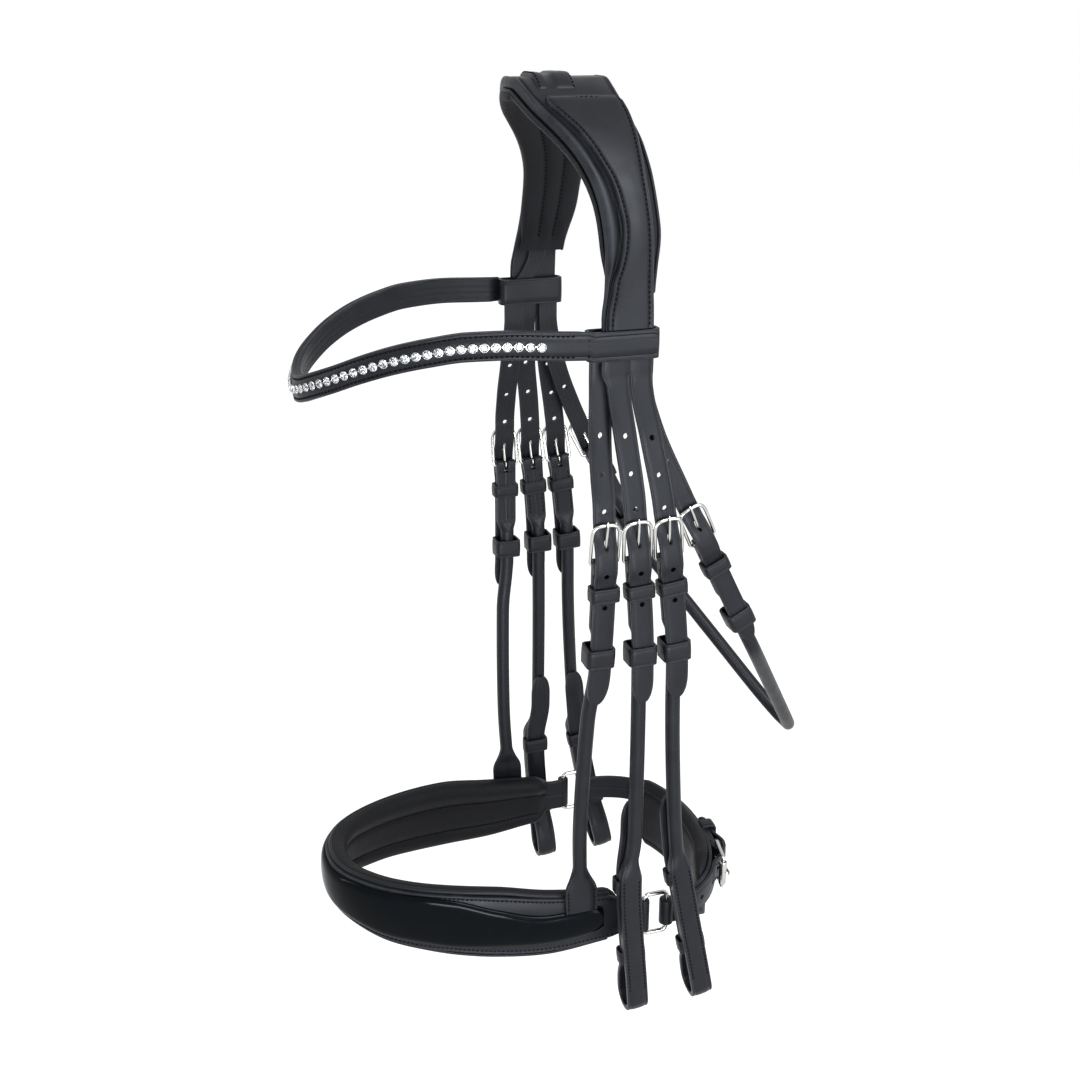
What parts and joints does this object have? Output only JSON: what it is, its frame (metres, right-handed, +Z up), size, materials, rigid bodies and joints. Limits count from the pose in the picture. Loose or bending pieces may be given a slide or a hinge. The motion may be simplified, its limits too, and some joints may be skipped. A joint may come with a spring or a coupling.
{
  "type": "snaffle bridle",
  "caption": "Black leather bridle with padded headpiece, double cheekpieces, crystal browband, padded patent noseband, throat lash and steel buckles.",
  "frame": {"origin": "the flat seat under the middle of the poll pad", "axes": "+Z up; the browband and noseband face -Y; the near (left) side of the horse is +X"},
  "size_m": [0.1984, 0.3189, 0.5454],
  "materials": {
    "leather": "smooth black bridle leather",
    "padding": "soft matt black leather over padding",
    "patent": "black patent leather, high gloss",
    "steel": "polished stainless steel",
    "crystal": "clear cut stones in polished silver cups"
  },
  "bodies": {
    "headpiece": {"crown_leather": "leather", "poll_pad": "padding", "crown_panel_near": "leather", "crown_panel_off": "leather", "noseband_headstrap": "leather"},
    "browband": {"browband": "leather", "crystal_chain": "crystal"},
    "noseband": {"noseband_leather": "leather", "noseband_pad": "padding", "noseband_patent": "patent", "chin_strap": "leather", "chin_pad": "padding", "chin_buckle": "steel", "hanger_near_billet": "leather", "hanger_near_strap": "leather", "hanger_near_buckle": "steel", "hanger_off_billet": "leather", "hanger_off_strap": "leather", "hanger_off_buckle": "steel"},
    "throat_lash": {"throat_strap": "leather", "throat_near_billet": "leather", "throat_near_buckle": "steel", "throat_off_billet": "leather", "throat_off_buckle": "steel"},
    "cheek_front_near": {"cheek_front_near_billet": "leather", "cheek_front_near_strap": "leather", "cheek_front_near_buckle": "steel", "cheek_front_near_stud": "steel"},
    "cheek_front_off": {"cheek_front_off_billet": "leather", "cheek_front_off_strap": "leather", "cheek_front_off_buckle": "steel", "cheek_front_off_stud": "steel"},
    "cheek_rear_near": {"cheek_rear_near_billet": "leather", "cheek_rear_near_strap": "leather", "cheek_rear_near_buckle": "steel", "cheek_rear_near_stud": "steel"},
    "cheek_rear_off": {"cheek_rear_off_billet": "leather", "cheek_rear_off_strap": "leather", "cheek_rear_off_buckle": "steel", "cheek_rear_off_stud": "steel"},
    "hanger_near_tongue": {"hanger_near_tongue": "steel"},
    "hanger_near_keeper": {"hanger_near_keeper": "leather"},
    "cheek_front_near_tongue": {"cheek_front_near_tongue": "steel"},
    "cheek_front_near_keeper": {"cheek_front_near_keeper": "leather"},
    "cheek_rear_near_tongue": {"cheek_rear_near_tongue": "steel"},
    "cheek_rear_near_keeper": {"cheek_rear_near_keeper": "leather"},
    "throat_near_tongue": {"throat_near_tongue": "steel"},
    "throat_near_keeper": {"throat_near_keeper": "leather"},
    "noseband_ring_near": {"noseband_ring_near": "steel"},
    "hanger_off_tongue": {"hanger_off_tongue": "steel"},
    "hanger_off_keeper": {"hanger_off_keeper": "leather"},
    "cheek_front_off_tongue": {"cheek_front_off_tongue": "steel"},
    "cheek_front_off_keeper": {"cheek_front_off_keeper": "leather"},
    "cheek_rear_off_tongue": {"cheek_rear_off_tongue": "steel"},
    "cheek_rear_off_keeper": {"cheek_rear_off_keeper": "leather"},
    "throat_off_tongue": {"throat_off_tongue": "steel"},
    "throat_off_keeper": {"throat_off_keeper": "leather"},
    "noseband_ring_off": {"noseband_ring_off": "steel"},
    "chin_tongue": {"chin_tongue": "steel"},
    "chin_roller": {"chin_roller": "steel"}
  },
  "joints": [
    {"name": "browband_slide", "type": "slide", "parent": "headpiece", "child": "browband", "axis": [0, 0, 1], "range_m": [-0.006, 0]},
    {"name": "noseband_swing", "type": "hinge", "parent": "headpiece", "child": "noseband", "pos_m": [0, -0.0032, -0.1395], "axis": [-1, 0, 0], "range_deg": [0, 10]},
    {"name": "throat_swing", "type": "hinge", "parent": "headpiece", "child": "throat_lash", "pos_m": [0, 0.0194, -0.1395], "axis": [1, 0, 0], "range_deg": [0, 15]},
    {"name": "cheek_front_near_swing", "type": "hinge", "parent": "headpiece", "child": "cheek_front_near", "pos_m": [0.08115, 0.00524, -0.1402], "axis": [0, -0.9985, -0.0543], "range_deg": [0, 12]},
    {"name": "cheek_front_off_swing", "type": "hinge", "parent": "headpiece", "child": "cheek_front_off", "pos_m": [-0.08115, 0.00524, -0.1402], "axis": [0, 0.9985, 0.0543], "range_deg": [0, 12]},
    {"name": "cheek_rear_near_swing", "type": "hinge", "parent": "headpiece", "child": "cheek_rear_near", "pos_m": [0.08115, 0.01824, -0.1402], "axis": [0, -0.9978, -0.0668], "range_deg": [0, 12]},
    {"name": "cheek_rear_off_swing", "type": "hinge", "parent": "headpiece", "child": "cheek_rear_off", "pos_m": [-0.08115, 0.01824, -0.1402], "axis": [0, 0.9978, 0.0668], "range_deg": [0, 12]},
    {"name": "hanger_near_tongue_hinge", "type": "hinge", "parent": "noseband", "child": "hanger_near_tongue", "pos_m": [0.09144, -0.0052, -0.231], "axis": [0, 1, -0.0001], "range_deg": [0, 5]},
    {"name": "hanger_near_keeper_slide", "type": "slide", "parent": "noseband", "child": "hanger_near_keeper", "axis": [0.0507, 0.029, 0.9983], "range_m": [-0.001, 0.008]},
    {"name": "cheek_front_near_tongue_hinge", "type": "hinge", "parent": "cheek_front_near", "child": "cheek_front_near_tongue", "pos_m": [0.09264, 0.0135, -0.231], "axis": [0, 0.998, 0.0625], "range_deg": [0, 5]},
    {"name": "cheek_front_near_keeper_slide", "type": "slide", "parent": "cheek_front_near", "child": "cheek_front_near_keeper", "axis": [-0.0108, -0.0169, 0.9998], "range_m": [-0.004, 0.008]},
    {"name": "cheek_rear_near_tongue_hinge", "type": "hinge", "parent": "cheek_rear_near", "child": "cheek_rear_near_tongue", "pos_m": [0.09264, 0.0318, -0.231], "axis": [0, 0.9945, 0.1048], "range_deg": [0, 5]},
    {"name": "cheek_rear_near_keeper_slide", "type": "slide", "parent": "cheek_rear_near", "child": "cheek_rear_near_keeper", "axis": [-0.0108, -0.0588, 0.9982], "range_m": [-0.004, 0.008]},
    {"name": "throat_near_tongue_hinge", "type": "hinge", "parent": "throat_lash", "child": "throat_near_tongue", "pos_m": [0.08736, 0.054, -0.226], "axis": [0, 0.8966, 0.4429], "range_deg": [0, 5]},
    {"name": "throat_near_keeper_slide", "type": "slide", "parent": "throat_lash", "child": "throat_near_keeper", "axis": [0.0385, -0.4581, 0.8881], "range_m": [-0.001, 0.006]},
    {"name": "noseband_ring_near_turn", "type": "hinge", "parent": "noseband", "child": "noseband_ring_near", "pos_m": [0.076, 0.0305, -0.472], "axis": [0, 0, 1], "range_deg": [-2.5, 2.5]},
    {"name": "hanger_off_tongue_hinge", "type": "hinge", "parent": "noseband", "child": "hanger_off_tongue", "pos_m": [-0.09144, -0.0052, -0.231], "axis": [0, -1, 0.0001], "range_deg": [0, 5]},
    {"name": "hanger_off_keeper_slide", "type": "slide", "parent": "noseband", "child": "hanger_off_keeper", "axis": [-0.0507, 0.029, 0.9983], "range_m": [-0.001, 0.008]},
    {"name": "cheek_front_off_tongue_hinge", "type": "hinge", "parent": "cheek_front_off", "child": "cheek_front_off_tongue", "pos_m": [-0.09264, 0.0135, -0.231], "axis": [0, -0.998, -0.0625], "range_deg": [0, 5]},
    {"name": "cheek_front_off_keeper_slide", "type": "slide", "parent": "cheek_front_off", "child": "cheek_front_off_keeper", "axis": [0.0108, -0.0169, 0.9998], "range_m": [-0.004, 0.008]},
    {"name": "cheek_rear_off_tongue_hinge", "type": "hinge", "parent": "cheek_rear_off", "child": "cheek_rear_off_tongue", "pos_m": [-0.09264, 0.0318, -0.231], "axis": [0, -0.9945, -0.1048], "range_deg": [0, 5]},
    {"name": "cheek_rear_off_keeper_slide", "type": "slide", "parent": "cheek_rear_off", "child": "cheek_rear_off_keeper", "axis": [0.0108, -0.0588, 0.9982], "range_m": [-0.004, 0.008]},
    {"name": "throat_off_tongue_hinge", "type": "hinge", "parent": "throat_lash", "child": "throat_off_tongue", "pos_m": [-0.08736, 0.054, -0.226], "axis": [0, -0.8966, -0.4429], "range_deg": [0, 5]},
    {"name": "throat_off_keeper_slide", "type": "slide", "parent": "throat_lash", "child": "throat_off_keeper", "axis": [-0.0385, -0.4581, 0.8881], "range_m": [-0.001, 0.006]},
    {"name": "noseband_ring_off_turn", "type": "hinge", "parent": "noseband", "child": "noseband_ring_off", "pos_m": [-0.076, 0.0305, -0.472], "axis": [0, 0, 1], "range_deg": [-2.5, 2.5]},
    {"name": "chin_tongue_hinge", "type": "hinge", "parent": "noseband", "child": "chin_tongue", "pos_m": [0.03461, 0.09776, -0.46866], "axis": [0.04, -0.0116, 0.9991], "range_deg": [0, 5]},
    {"name": "chin_roller_spin", "type": "hinge", "parent": "noseband", "child": "chin_roller", "pos_m": [0.05329, 0.09403, -0.46946], "axis": [0.04, -0.0116, 0.9991], "continuous": true}
  ]
}
